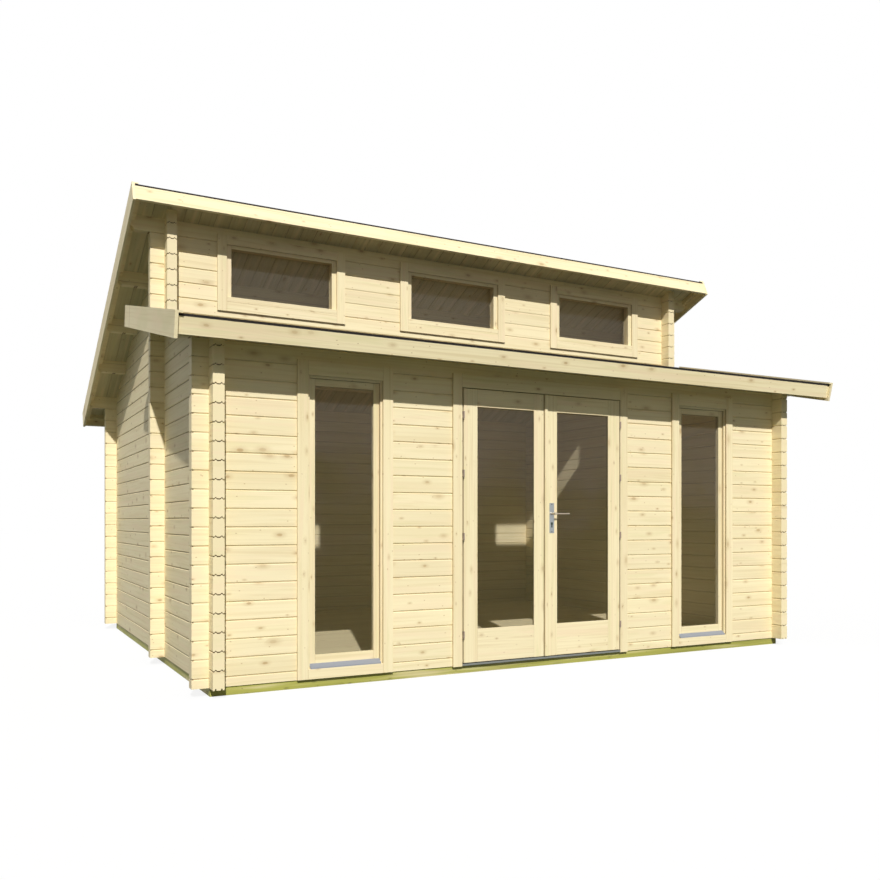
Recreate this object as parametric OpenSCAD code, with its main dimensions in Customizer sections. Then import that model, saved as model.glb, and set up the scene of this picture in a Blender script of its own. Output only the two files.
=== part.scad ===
// Guest cabin of interlocking logs with a low front roof, a clerestory wall
// with three wide windows and a rear roof that falls to the back.
// X runs along the front, Y into the depth (the front faces -Y), Z up.
// House sizes are counted from the front wall's outer face (Y) and from the
// underside of the bottom logs (Z); place() moves them into the part's frame.

/* [House] */
// Width over the outer faces of the side walls
house_w = 4900; // [4080:10:5900]
// Depth over the outer faces of the front and back walls
house_d = 3870; // [3220:10:4700]
// Outer face of the front wall to the outer face of the clerestory wall
cross_y = 1370; // [1140:10:1650]
// Length of the clerestory wall's short lower logs inside the room
stub_in = 150; // [80:5:300]

/* [Logs] */
// Log thickness
log_t = 70; // [58:1:84]
// Height of one course
log_h = 114; // [95:1:137]
// Number of log courses from the joint over the door up to the eaves
eaves_logs = 2; // [1:1:3]
// Length of a log end past its crossing
end_out = 102; // [85:1:125]
// Depth of the V groove at a joint
groove = 6.5; // [3:0.5:9]
// Chamfer under the end of a log that carries the roof overhang
nose = 40; // [20:1:50]

/* [Base] */
// Height of the treated foundation beams
found_h = 55; // [45:1:80]
// Width of the foundation beams
found_w = 90; // [85:1:110]
// Set-back of the foundation from the walls' outer faces
found_in = 9; // [0:1:15]
// Thickness of the floor boards
floor_t = 20; // [18:1:28]
// Number of floor joists
joists = 7; // [5:1:9]

/* [Roofs] */
// Pitch of the front roof in degrees
lower_pitch = 13.05; // [8:0.05:16]
// Pitch of the rear roof in degrees
upper_pitch = 22.8; // [18:0.1:26]
// Outer face of a side wall to the outer face of a barge board
side_out = 268; // [200:1:320]
// Slope length of the front roof ahead of the front wall
lower_eaves = 347; // [250:1:420]
// Slope length of the front roof from the front wall's face to its upper end
lower_run = 1478; // [1460:1:1800]
// Slope length of the rear roof ahead of the clerestory wall
upper_eaves = 272; // [220:1:330]
// Slope length of the rear roof past the back wall's outer face
rear_eaves = 358; // [240:1:430]
// Thickness of the roof boards
deck_t = 20; // [16:1:26]
// Thickness of the roof felt
felt_t = 5; // [3:0.5:8]
// Height and width of the felt roll along the eaves and verges
felt_roll = 16; // [10:1:24]
// Thickness of the barge and fascia boards
board_t = 20; // [16:1:24]
// Depth of a barge board below the underside of the roof boards
barge_drop = 105; // [80:1:120]
// Height of a barge board above that underside, without its cap
barge_rise = 38; // [34:1:50]
// Thickness of the cap on a barge board
cap_t = 12; // [8:1:18]
// Width of the cap on a barge board
cap_w = 45; // [30:1:60]
// Depth of the front roof's fascia below the underside of the roof boards
lower_fascia_drop = 80; // [60:1:100]
// Depth of the rear roof's fascias below the underside of the roof boards
upper_fascia_drop = 96; // [60:1:104]
// Set-back of the front roof's fascia from the ends of the barge boards
lower_fascia_in = 19; // [5:1:30]
// Set-back of the rear roof's fascias from the ends of the barge boards
upper_fascia_in = 2; // [0:1:20]
// Width and depth of the battens behind the fascias and barge boards
batten_w = 40; // [30:1:50]
// Number of purlins between the clerestory wall and the back wall
purlin_count = 3; // [2:1:4]
// Depth of a purlin
purlin_d = 110; // [95:1:130]

/* [Tall windows] */
// Outer face of the side wall to the outer edge of a front window's trim
window_margin = 553; // [460:1:640]
// Width between the trims of a front window
window_w = 520; // [430:1:620]
// Sill level between the trims of a front window
window_z = 65; // [60:1:90]
// Height between the trims of a front window
window_h = 1871; // [1560:1:1880]

/* [Clerestory windows] */
// Inner face of the side wall to the outer edge of the nearest trim
clerestory_margin = 318; // [260:1:400]
// Width between the trims of a clerestory window
clerestory_w = 896; // [750:1:1000]
// Height between the trims of a clerestory window
clerestory_h = 437; // [360:1:450]
// Roof boards above the wall to the top between the trims
clerestory_drop = 122; // [100:1:140]

/* [Joinery] */
// Width of the flat trim boards round windows
trim_w = 73; // [60:1:85]
// Width of the trim boards over the front windows and the door
head_w = 97; // [70:1:110]
// Thickness of the trim boards outside
trim_t = 16; // [12:1:20]
// Visible width of a front window's frame inside its trims
frame_w = 14; // [12:1:24]
// Width of the sides of a front window's sash
sash_w = 42; // [32:1:50]
// Height of the top rail of a front window's sash
sash_head = 46; // [36:1:56]
// Height of the bottom rail of a front window's sash
sash_foot = 71; // [58:1:86]
// Visible width of a clerestory window's frame inside its trims
clerestory_frame_w = 38; // [30:1:46]
// Visible height of the head of a clerestory window's frame
clerestory_head_w = 26; // [20:1:40]
// Depth of the front windows' glass behind the wall's outer face
glass_in = 29; // [27:1:44]
// Depth of the clerestory windows' glass behind the wall's outer face
clerestory_glass_in = 57; // [40:1:58]
// Thickness of the glass
glass_t = 4; // [3:1:6]

/* [Door] */
// Width between the door's trims
door_w = 1400; // [1170:2:1680]
// Underside of the logs to the top between the door's trims
door_top = 1938; // [1620:1:1940]
// Gap beside a door leaf on its hinge side
hinge_gap = 10; // [9:1:14]
// Gap above the door leaves
leaf_top_gap = 6; // [5:1:10]
// Underside of the door leaves above the underside of the logs
leaf_z = 19; // [18:1:26]
// Thickness of a door leaf
leaf_t = 56; // [44:1:62]
// Depth of the glass behind a leaf's outer face
leaf_glass_in = 9; // [9:1:26]
// Width of the stiles on the hinge side
stile_w = 111; // [90:1:125]
// Middle of the door to the glass on either side
middle_w = 102; // [90:1:120]
// Width of the strip on the right leaf that covers the meeting edges
cover_w = 24; // [20:1:40]
// Thickness of that strip
cover_t = 12; // [8:1:16]
// Gap between the two leaves
meeting_gap = 6; // [6:0.5:10]
// Height of a leaf's top rail
rail_top = 114; // [90:1:130]
// Height of a leaf's bottom rail
rail_foot = 233; // [180:1:280]
// Radius of a hinge barrel
barrel_r = 5.5; // [5:0.5:7]
// Radius of a hinge pin
pin_r = 3; // [2.5:0.5:4]
// Length of a hinge barrel, both halves together
barrel_h = 50; // [44:2:70]
// Taper of the leaves' meeting edges through their thickness
meeting_taper = 4; // [4:0.5:8]
// Middle of the door to the handle's axis
handle_x = 54; // [48:1:60]
// Height of the door handle's axis
handle_z = 1062; // [950:1:1100]
// Length of the lever from its axis
lever_l = 124; // [100:1:150]

/* [Hidden] */

wood = [0.94, 0.88, 0.68];
wood_shade = [0.88, 0.80, 0.60];
treated = [0.70, 0.70, 0.32];
felt_black = [0.12, 0.12, 0.11];
glass_tint = [0.36, 0.33, 0.26, 0.5];
metal = [0.60, 0.63, 0.70];

fit = 0.3;                          // clearance between pieces that seat on each other
liner_t = 18;                       // lining of the openings through the logs
settle = 12;                        // room for the logs to settle over the door
half_w = house_w / 2;
door_cut_top = door_top + liner_t + settle;
over_joint = (ceil(door_cut_top / log_h - 0.5) + 0.5) * log_h;
eaves_z = over_joint + eaves_logs * log_h;  // top of the front wall's inner edge
beam_joint = eaves_z - log_h;
deck_half = half_w + side_out - board_t - fit;
long_half = half_w + end_out;
stub_half = (end_out + log_t + stub_in) / 2;
stub_x = long_half - stub_half;
y_log_end = house_d + end_out + 1;

// The back wall takes more courses where the clerestory windows need the height
clerestory_need = lower_z(cross_y) + (deck_t + felt_t + fit) / cos(lower_pitch) + trim_w
    + clerestory_h + clerestory_drop;
rear_room = eaves_z + (house_d - log_t - cross_y) * tan(upper_pitch);
rear_logs = max(0, ceil((clerestory_need - rear_room) / log_h));
rear_z = eaves_z + rear_logs * log_h;       // top of the back wall's inner edge

// Underside of the front roof and of the rear roof at depth y
function lower_z(y) = eaves_z + (y - log_t) * tan(lower_pitch);
function upper_z(y) = rear_z + (house_d - log_t - y) * tan(upper_pitch);
// Joint under the log that carries the roof at height z
function top_joint(z) = (floor(z / log_h - 1) + 0.5) * log_h;

lower_z0 = lower_z(0);
upper_z0 = upper_z(cross_y);
upper_run = (house_d - cross_y) / cos(upper_pitch) + rear_eaves;
roof_top_n = barge_rise + cap_t;

y_low = -lower_eaves * cos(lower_pitch) - roof_top_n * sin(lower_pitch);
y_high = cross_y + upper_run * cos(upper_pitch) + roof_top_n * sin(upper_pitch);
y_shift = -(y_low + y_high) / 2;

// Joinery, worked out from the driving sizes
liner_gap = 3;
glass_lap = 8;
sash_y = 18;
leaf_y = -trim_t - 2;
window_x = half_w - window_margin - trim_w - window_w / 2;
clerestory_x = half_w - log_t - clerestory_margin - trim_w - clerestory_w / 2;
clerestory_top = upper_z0 - clerestory_drop;
door_cut = door_w / 2 + liner_t + liner_gap;

leaf_edge = door_w / 2 - hinge_gap;
leaf_top = door_top - leaf_top_gap;
hinge_x = leaf_edge + 3.5;
hinge_y = leaf_y - 8;
plate_t = 3;
plate_w = 42;
plate_z0 = handle_z - 143;
plate_z1 = handle_z + 78;
spindle_r = 4;
neck_r = 9;
lever_r = 5;
hinge_levels = [leaf_z + 196, leaf_z + (leaf_top - leaf_z) * 0.46,
    leaf_z + (leaf_top - leaf_z) * 0.69, leaf_top - 186];

module place() {
    translate([0, y_shift, found_h]) children();
}

// ---- shapes used by several pieces ----

// Extrudes a plan drawn as (x, z) over the depth y0 to y1
module front_cut(y0, y1) {
    translate([0, y1, 0]) rotate([90, 0, 0]) linear_extrude(y1 - y0) children();
}

// Extrudes a section drawn as (y, z) over the width x0 to x1
module side_cut(x0, x1) {
    translate([x0, 0, 0]) rotate([90, 0, 90]) linear_extrude(x1 - x0) children();
}

module span(x0, x1, z0, z1) {
    translate([x0, z0]) square([x1 - x0, z1 - z0]);
}

module block(x0, x1, y0, y1, z0, z1) {
    translate([x0, y0, z0]) cube([x1 - x0, y1 - y0, z1 - z0]);
}

// One face of a log stack from z0 up to z1, with a V groove at each joint;
// x is the face's place across the wall and turn points into the wood
function grooved_face(x, turn, z0, z1, first) = concat(
    [[x, z0]],
    [for (z = [first : log_h : z1 - groove - 1])
        each [[x, z - groove], [x + turn * groove, z], [x, z + groove]]],
    [[x, z1]]);

function reversed(points) = [for (i = [len(points) - 1 : -1 : 0]) points[i]];

// Section of a log stack; the tops of its two faces may differ
module log_stack(top_a, top_b, first) {
    polygon(concat(grooved_face(0, 1, 0, top_a, first),
        reversed(grooved_face(log_t, -1, 0, top_b, first))));
}

// A wall of logs that run along X, cut to the elevation given as a child
module x_logs(y, top_front, top_back) {
    intersection() {
        translate([0, y, 0]) side_cut(-deck_half, deck_half)
            log_stack(top_front, top_back, log_h / 2);
        front_cut(y - 1, y + log_t + 1) children();
    }
}

// Notches that let the side walls' logs through at both ends
module x_notches(top) {
    for (side = [-1, 1], k = [0 : ceil(top / log_h)])
        translate([side * (half_w - log_t / 2), (k + 0.5) * log_h])
            square([log_t + fit, log_h / 2 + fit], center = true);
}

// Elevation of the top log, run out to the barge boards with chamfered noses
module top_log(joint, top) {
    polygon([[-deck_half, top], [-deck_half, joint + nose], [-deck_half + nose, joint + fit],
        [deck_half - nose, joint + fit], [deck_half, joint + nose], [deck_half, top]]);
}

// Opening for a window's frame behind its trims
module window_hole(x, w, z0, h) {
    span(x - w / 2 - liner_t, x + w / 2 + liner_t, z0 - liner_t + 2, z0 + h + liner_t - 2);
}

// ---- base and floor ----

module foundation_x(y) {
    place() color(treated)
        block(-half_w + found_in, half_w - found_in, y, y + found_w, -found_h, -fit);
}

module foundation_front() { foundation_x(found_in); }
module foundation_back() { foundation_x(house_d - found_in - found_w); }
module foundation_sides() {
    place() color(treated) for (x = [-half_w + found_in, half_w - found_in - found_w])
        block(x, x + found_w, found_in + found_w + fit,
            house_d - found_in - found_w - fit, -found_h, -fit);
}

module floor_joists() {
    inner = half_w - found_in - found_w;
    pitch = 2 * inner / (joists + 1);
    joist_w = 45;
    place() color(treated) for (i = [1 : joists])
        block(-inner + i * pitch - joist_w / 2, -inner + i * pitch + joist_w / 2,
            found_in + found_w + fit, house_d - found_in - found_w - fit, -found_h, -fit);
}

module floor_boards() {
    inner = half_w - log_t - fit;
    place() color(wood_shade) difference() {
        block(-inner, inner, log_t + fit, house_d - log_t - fit, 0, floor_t);
        for (side = [-1, 1]) translate([side * stub_x, 0, 0])
            block(-stub_half - fit, stub_half + fit, cross_y - fit,
                cross_y + log_t + fit, -1, floor_t + 1);
    }
}

// ---- walls ----

// Elevation of the whole front wall with its openings
module front_elevation() {
    difference() {
        union() {
            span(-long_half, long_half, 0, eaves_z);
            top_log(top_joint(lower_z0), eaves_z);
        }
        x_notches(eaves_z);
        for (side = [-1, 1]) window_hole(side * window_x, window_w, window_z, window_h);
        span(-door_cut, door_cut, -1, door_cut_top);
    }
}

module front_part(x0, x1, z0, z1) {
    place() color(wood) x_logs(0, lower_z0 - fit, eaves_z - fit) intersection() {
        front_elevation();
        span(x0, x1, z0, z1);
    }
}

module front_wall_left() { front_part(-long_half, -door_cut, 0, over_joint - fit); }
module front_wall_right() { front_part(door_cut, long_half, 0, over_joint - fit); }

// The long logs over the door and windows, cut round the door's head
module front_wall_over_door() {
    place() color(wood) x_logs(0, lower_z0 - fit, eaves_z - fit) intersection() {
        front_elevation();
        union() {
            span(-deck_half, deck_half, over_joint, eaves_z);
            span(-door_cut + fit, door_cut - fit, door_cut_top, over_joint + 1);
        }
    }
}

module back_wall() {
    place() color(wood)
        x_logs(house_d - log_t, rear_z - fit, upper_z(house_d) - fit) difference() {
            union() {
                span(-long_half, long_half, 0, rear_z);
                top_log(top_joint(upper_z(house_d)), rear_z);
            }
            x_notches(rear_z);
        }
}

// A part of the clerestory wall, cut to the elevation given as a child
module cross_part() {
    place() color(wood) x_logs(cross_y, upper_z0 - fit, upper_z(cross_y + log_t) - fit)
        difference() {
            children();
            x_notches(upper_z0);
        }
}

// Short lower logs that lock the side walls where the clerestory wall crosses
module cross_wall_stubs() {
    for (side = [-1, 1]) cross_part() translate([side * stub_x, 0])
        span(-stub_half, stub_half, 0, beam_joint - fit);
}

module clerestory_wall() {
    cross_part() difference() {
        union() {
            span(-long_half, long_half, beam_joint, upper_z0);
            top_log(top_joint(upper_z0), upper_z0);
        }
        for (i = [-1 : 1])
            window_hole(i * clerestory_x, clerestory_w, clerestory_top - clerestory_h,
                clerestory_h);
    }
}

function purlin_y(i) =
    cross_y + i * (house_d - log_t - cross_y) / (purlin_count + 1);

// Side wall of logs that run along Y: under both roofs, with a column of log
// ends ahead of the clerestory wall
module side_wall() {
    y0 = -end_out;
    y1 = house_d + end_out;
    step = cross_y - end_out;
    crossings = [0, cross_y, house_d - log_t];
    difference() {
        polygon([[y0, 0], [y1, 0], [y1, upper_z(y1) - fit], [step, upper_z(step) - fit],
            [step, lower_z(step) - fit], [y0, lower_z(y0) - fit]]);
        for (y = crossings, k = [0 : ceil(upper_z0 / log_h)])
            translate([y + log_t / 2, k * log_h])
                square([log_t + fit, log_h / 2 + fit], center = true);
        for (i = [1 : purlin_count])
            translate([purlin_y(i) - fit, upper_z(purlin_y(i)) - purlin_d - fit])
                square([log_t + 2 * fit, purlin_d + log_h]);
    }
}

module y_logs(x) {
    place() color(wood) intersection() {
        translate([x, y_log_end, 0]) rotate([90, 0, 0])
            linear_extrude(y_log_end + end_out + 1)
                log_stack(upper_z(cross_y - end_out), upper_z(cross_y - end_out), log_h);
        side_cut(x - 1, x + log_t + 1) side_wall();
    }
}

module left_wall() { y_logs(-half_w); }
module right_wall() { y_logs(half_w - log_t); }

// ---- roofs ----

// Roof frames: X across, Y up or down the slope, Z square to the boards
module lower_slope() {
    place() translate([0, 0, lower_z0]) rotate([lower_pitch, 0, 0]) children();
}
module upper_slope() {
    place() translate([0, cross_y, upper_z0]) rotate([-upper_pitch, 0, 0]) children();
}

lower_front = -lower_eaves + lower_fascia_in + board_t + fit;
upper_front = -upper_eaves + upper_fascia_in + board_t + fit;
upper_back = upper_run - upper_fascia_in - board_t - fit;

// Space the walls and log ends take where the front roof meets them
module lower_roof_clearance() {
    place() {
        block(-half_w - fit, half_w + fit, cross_y - fit, house_d, eaves_z, upper_z0);
        block(-long_half - fit, long_half + fit, cross_y - fit, cross_y + log_t + fit,
            eaves_z, upper_z0);
        for (side = [-1, 1]) translate([side * (half_w - log_t / 2), 0, 0])
            block(-log_t / 2 - fit, log_t / 2 + fit, cross_y - end_out - fit, house_d,
                eaves_z, upper_z0);
    }
}

module lower_roof_boards() {
    color(wood_shade) difference() {
        lower_slope() block(-deck_half, deck_half, lower_front, lower_run, 0, deck_t);
        lower_roof_clearance();
    }
}

// Felt sheet with a roll along its front edge and both verges
module felt_sheet(s0, s1, roll_back) {
    block(-deck_half, deck_half, s0, s1, deck_t + fit, deck_t + felt_t);
    block(-deck_half, deck_half, s0, s0 + felt_roll, deck_t + fit, deck_t + felt_roll);
    if (roll_back)
        block(-deck_half, deck_half, s1 - felt_roll, s1, deck_t + fit, deck_t + felt_roll);
    for (side = [-1, 1]) translate([side * (deck_half - felt_roll / 2), 0, 0])
        block(-felt_roll / 2, felt_roll / 2, s0, s1, deck_t + fit, deck_t + felt_roll);
}

module lower_roof_felt() {
    color(felt_black) difference() {
        lower_slope() felt_sheet(lower_front - board_t, lower_run, false);
        lower_roof_clearance();
    }
}

module fascia(s0, drop) {
    color(wood) block(-deck_half, deck_half, s0, s0 + board_t, -drop, deck_t);
}

module lower_fascia() {
    lower_slope() fascia(-lower_eaves + lower_fascia_in, lower_fascia_drop);
}
module upper_fascia_front() {
    upper_slope() fascia(-upper_eaves + upper_fascia_in, upper_fascia_drop);
}
module upper_fascia_back() {
    upper_slope() fascia(upper_run - upper_fascia_in - board_t, upper_fascia_drop);
}

// Barge board with its cap over the edge of the felt
module barge(s0, s1, side) {
    color(wood) scale([side, 1, 1]) translate([half_w + side_out, 0, 0]) {
        block(-board_t, 0, s0, s1, -barge_drop, barge_rise);
        block(-cap_w, 0, s0, s1, barge_rise, barge_rise + cap_t);
    }
}

module lower_barge_left() { lower_slope() barge(-lower_eaves, lower_run, -1); }
module lower_barge_right() { lower_slope() barge(-lower_eaves, lower_run, 1); }
module upper_barge_left() { upper_slope() barge(-upper_eaves, upper_run, -1); }
module upper_barge_right() { upper_slope() barge(-upper_eaves, upper_run, 1); }

module upper_roof_boards() {
    color(wood_shade) upper_slope()
        block(-deck_half, deck_half, upper_front, upper_back, 0, deck_t);
}

module upper_roof_felt() {
    color(felt_black) upper_slope()
        felt_sheet(upper_front - board_t, upper_back + board_t, true);
}

module purlins() {
    fall = log_t * tan(upper_pitch);
    place() color(wood) for (i = [1 : purlin_count]) {
        y = purlin_y(i);
        z = upper_z(y) - fit;
        intersection() {
            side_cut(-deck_half, deck_half)
                polygon([[y, z], [y, z - purlin_d + fit], [y + log_t, z - purlin_d + fit],
                    [y + log_t, z - fall]]);
            front_cut(y - 1, y + log_t + 1)
                top_log(z - purlin_d, z + 1);
        }
    }
}

// Battens behind the fascias and barge boards, let past the logs that carry the
// overhang, and a ledger for the front roof on the clerestory wall
module roof_battens() {
    color(wood_shade) {
        lower_slope() batten(lower_front);
        upper_slope() batten(upper_front);
        upper_slope() batten(upper_back - batten_w);
        difference() {
            lower_slope() rake_battens(lower_front + batten_w + fit, lower_run - fit);
            log_slot(0);
        }
        difference() {
            upper_slope() rake_battens(upper_front + batten_w + fit,
                upper_back - batten_w - fit);
            for (y = concat([cross_y, house_d - log_t],
                [for (i = [1 : purlin_count]) purlin_y(i)])) log_slot(y);
        }
        place() side_cut(-half_w + log_t + fit, half_w - log_t - fit) {
            y = cross_y - fit;
            polygon([[y, lower_z(y) - fit], [y - batten_w, lower_z(y - batten_w) - fit],
                [y - batten_w, lower_z(y) - batten_w], [y, lower_z(y) - batten_w]]);
        }
    }
}

module batten(s0) {
    block(-deck_half, deck_half, s0, s0 + batten_w, -batten_w, -fit);
}

module rake_battens(s0, s1) {
    for (side = [-1, 1]) translate([side * (deck_half - batten_w / 2), 0, 0])
        block(-batten_w / 2, batten_w / 2, s0, s1, -batten_w, -fit);
}

module log_slot(y) {
    place() block(-deck_half - 1, deck_half + 1, y - 1, y + log_t + 1, eaves_z - 500,
        upper_z0 + 100);
}

// ---- windows ----

// Flat ring drawn as (x, z): outer edges less inner edges
module ring(x, w, z0, z1, side, foot, head) {
    difference() {
        span(x - w / 2 - side, x + w / 2 + side, z0 - foot, z1 + head);
        span(x - w / 2, x + w / 2, z0, z1);
    }
}

// Trims outside and inside and the frame between them, for the wall face at
// depth y; foot and head are the widths of the bottom and top trims, and face
// and head_face are the widths of the frame that show inside the trims
module window_frame(x, y, w, z0, h, foot, head, face, head_face) {
    z1 = z0 + h;
    hidden = liner_t - fit;
    place() color(wood) {
        front_cut(y - trim_t - fit, y - fit) ring(x, w, z0, z1, trim_w, foot, head);
        front_cut(y - fit, y + log_t + fit)
            ring(x, w - 2 * face, z0 + face, z1 - head_face, face + hidden,
                face + hidden - 2, head_face + hidden - 2);
        front_cut(y + log_t + fit, y + log_t + fit + trim_t)
            ring(x, w, z0, z1, trim_w, min(foot, z0 - floor_t - fit), head);
    }
}

// Fixed sash of a front window, let into its frame
module tall_sash(side) {
    half = window_w / 2 - frame_w;
    z0 = window_z + frame_w;
    z1 = window_z + window_h - frame_w;
    place() color(wood) front_cut(sash_y, log_t - sash_y)
        translate([side * window_x, 0]) difference() {
            span(-half - 1, half + 1, z0 - 1, z1 + 1);
            span(-half + sash_w, half - sash_w, z0 + sash_foot, z1 - sash_head);
        }
}

// Sheet of glass in its groove in the sash
module pane(x, y, w, z0, z1, grow) {
    color(glass_tint) block(x - w / 2, x + w / 2, y, y + glass_t + 2 * grow, z0, z1);
}

module tall_frame(side) {
    difference() {
        union() {
            window_frame(side * window_x, 0, window_w, window_z, window_h, window_z,
                head_w, frame_w, frame_w);
            tall_sash(side);
        }
        tall_pane(side, fit);
    }
}

// Glass of a front window, grown by grow to make its groove
module tall_pane(side, grow) {
    lap = glass_lap + grow;
    w = window_w - 2 * (frame_w + sash_w - lap);
    place() translate([0, -grow, 0])
        pane(side * window_x, glass_in, w, window_z + frame_w + sash_foot - lap,
            window_z + window_h - frame_w - sash_head + lap, grow);
}

module clerestory_pane(i, grow) {
    lap = glass_lap + grow;
    place() translate([0, cross_y - grow, 0])
        pane(i * clerestory_x, clerestory_glass_in, clerestory_w - 2 * (clerestory_frame_w - lap),
            clerestory_top - clerestory_h + clerestory_frame_w - lap,
            clerestory_top - clerestory_head_w + lap, grow);
}

module clerestory_frame(i) {
    difference() {
        window_frame(i * clerestory_x, cross_y, clerestory_w, clerestory_top - clerestory_h,
            clerestory_h, trim_w, trim_w, clerestory_frame_w, clerestory_head_w);
        clerestory_pane(i, fit);
    }
}

module window_left_frame() { tall_frame(-1); }
module window_right_frame() { tall_frame(1); }
module front_window_glass() { for (side = [-1, 1]) tall_pane(side, 0); }
module clerestory_frame_left() { clerestory_frame(-1); }
module clerestory_frame_middle() { clerestory_frame(0); }
module clerestory_frame_right() { clerestory_frame(1); }
module clerestory_glass() { for (i = [-1 : 1]) clerestory_pane(i, 0); }

// Section of a folded metal drip sill, from the sash over the frame's foot
// to a lip that stands on the bottom trim
module sill_section() {
    z = window_z + frame_w;
    front = -trim_t + fit;
    slope = 0.719;
    rear_z = z + 13.6;
    polygon([[sash_y - fit, rear_z + 3], [sash_y - fit, rear_z],
        [front + 3, rear_z - (sash_y - fit - front - 3) * slope], [front + 3, window_z + fit],
        [front, window_z + fit], [front, rear_z + 3 - (sash_y - fit - front) * slope]]);
}

// Drip sills at the feet of the front windows, let in between the frame's sides
module window_sills() {
    half = window_w / 2 - frame_w - fit;
    place() color(metal) for (side = [-1, 1]) translate([side * window_x, 0, 0])
        side_cut(-half, half) sill_section();
}

// ---- door ----

// Trims, lining and stops round the doorway
module door_frame() {
    half = door_w / 2;
    stop_y = leaf_y + leaf_t + 6;
    stop = 25;
    place() color(wood) {
        front_cut(-trim_t - fit, -fit) difference() {
            span(-half - trim_w, half + trim_w, -5, door_top + head_w);
            span(-half, half, -6, door_top);
        }
        front_cut(-fit, log_t + fit) difference() {
            span(-half - liner_t, half + liner_t, 0, door_top + liner_t);
            span(-half, half, -1, door_top);
        }
        front_cut(stop_y, log_t + fit) difference() {
            span(-half - 1, half + 1, floor_t, door_top + 1);
            span(-half + stop, half - stop, -1, door_top - stop);
        }
        front_cut(log_t + fit, log_t + fit + trim_t) difference() {
            span(-half - trim_w, half + trim_w, floor_t + fit, door_top + head_w);
            span(-half, half, 0, door_top);
        }
    }
}

module door_threshold() {
    half = door_w / 2 - fit;
    place() color(metal) block(-half, half, leaf_y, log_t, 0, leaf_z - 6);
}

// One leaf with its meeting edge at x0, tapered so that it swings clear
module leaf(x0) {
    intersection() {
        translate([0, 0, leaf_z]) linear_extrude(leaf_top - leaf_z)
            polygon([[x0, leaf_y], [leaf_edge, leaf_y], [leaf_edge, leaf_y + leaf_t],
                [x0 + meeting_taper, leaf_y + leaf_t]]);
        front_cut(leaf_y - 1, leaf_y + leaf_t + 1) difference() {
            span(x0 - 1, leaf_edge + 1, leaf_z - 1, leaf_top + 1);
            span(middle_w, leaf_edge - stile_w, leaf_z + rail_foot, leaf_top - rail_top);
        }
    }
}

module leaf_pane(grow) {
    lap = glass_lap + grow;
    y = leaf_y + leaf_glass_in;
    color(glass_tint) block(middle_w - lap, leaf_edge - stile_w + lap, y - grow,
        y + glass_t + grow, leaf_z + rail_foot - lap, leaf_top - rail_top + lap);
}

module door_left() {
    place() color(wood) scale([-1, 1, 1]) difference() {
        leaf(cover_w / 2 + meeting_gap);
        leaf_pane(fit);
    }
}

module door_right() {
    place() color(wood) difference() {
        union() {
            leaf(-cover_w / 2);
            block(-cover_w / 2, cover_w / 2, leaf_y - cover_t, leaf_y, leaf_z, leaf_top);
        }
        leaf_pane(fit);
        spindle_hole(neck_r);
    }
}

module door_left_glass() { place() scale([-1, 1, 1]) leaf_pane(0); }
module door_right_glass() { place() leaf_pane(0); }

module spindle_hole(r) {
    translate([handle_x, leaf_y + leaf_t / 2, handle_z]) rotate([90, 0, 0])
        cylinder(r = r, h = 2 * leaf_t, center = true, $fn = 32);
}

// Fixed halves: lower barrel with the pin, and a plate on the lining
module hinge_frame_halves() {
    place() color(metal) for (side = [-1, 1], z = hinge_levels) {
        translate([side * hinge_x, hinge_y, z - barrel_h / 2])
            cylinder(r = barrel_r, h = barrel_h / 2, $fn = 32);
        translate([side * hinge_x, hinge_y, z - barrel_h / 2])
            cylinder(r = pin_r, h = barrel_h - 2, $fn = 32);
        hinge_plate(side, door_w / 2 - fit - 2, z - barrel_h / 2, z);
    }
}

// Moving halves of one leaf: upper barrels over the pins, and a plate on the edge
module leaf_hinges(side) {
    place() color(metal) for (z = hinge_levels) difference() {
        union() {
            translate([side * hinge_x, hinge_y, z + 0.5])
                cylinder(r = barrel_r, h = barrel_h / 2, $fn = 32);
            hinge_plate(side, leaf_edge + fit, z + 0.5, z + barrel_h / 2 + 0.5);
        }
        translate([side * hinge_x, hinge_y, z - 1])
            cylinder(r = pin_r + 0.05, h = barrel_h / 2, $fn = 32);
    }
}

module hinge_plate(side, x, z0, z1) {
    translate([side * (x + 1), 0, 0]) block(-1, 1, hinge_y + 1, hinge_y + 40, z0, z1);
}

module door_left_hinges() { leaf_hinges(-1); }
module door_right_hinges() { leaf_hinges(1); }

// Long plates on both faces of the right leaf, with a hole for the spindle
module handle_plates() {
    place() color(metal) difference() {
        for (y = [leaf_y - plate_t - fit, leaf_y + leaf_t + fit])
            block(handle_x - plate_w / 2, handle_x + plate_w / 2, y, y + plate_t,
                plate_z0, plate_z1);
        spindle_hole(spindle_r + 0.08);
    }
}

// Levers outside and inside on one spindle
module door_handle() {
    middle = leaf_y + leaf_t / 2;
    seat = leaf_t / 2 + plate_t + 2 * fit;
    reach = seat + 46;
    place() color(metal) translate([handle_x, middle, handle_z]) {
        rotate([90, 0, 0]) cylinder(r = spindle_r, h = 2 * reach, center = true, $fn = 32);
        for (side = [-1, 1]) scale([1, side, 1]) {
            translate([0, reach + lever_r, 0]) rotate([90, 0, 0])
                cylinder(r = neck_r, h = reach + lever_r - seat, $fn = 32);
            translate([0, reach, 0]) rotate([0, 90, 0])
                cylinder(r = lever_r, h = lever_l, $fn = 32);
        }
    }
}

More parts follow.
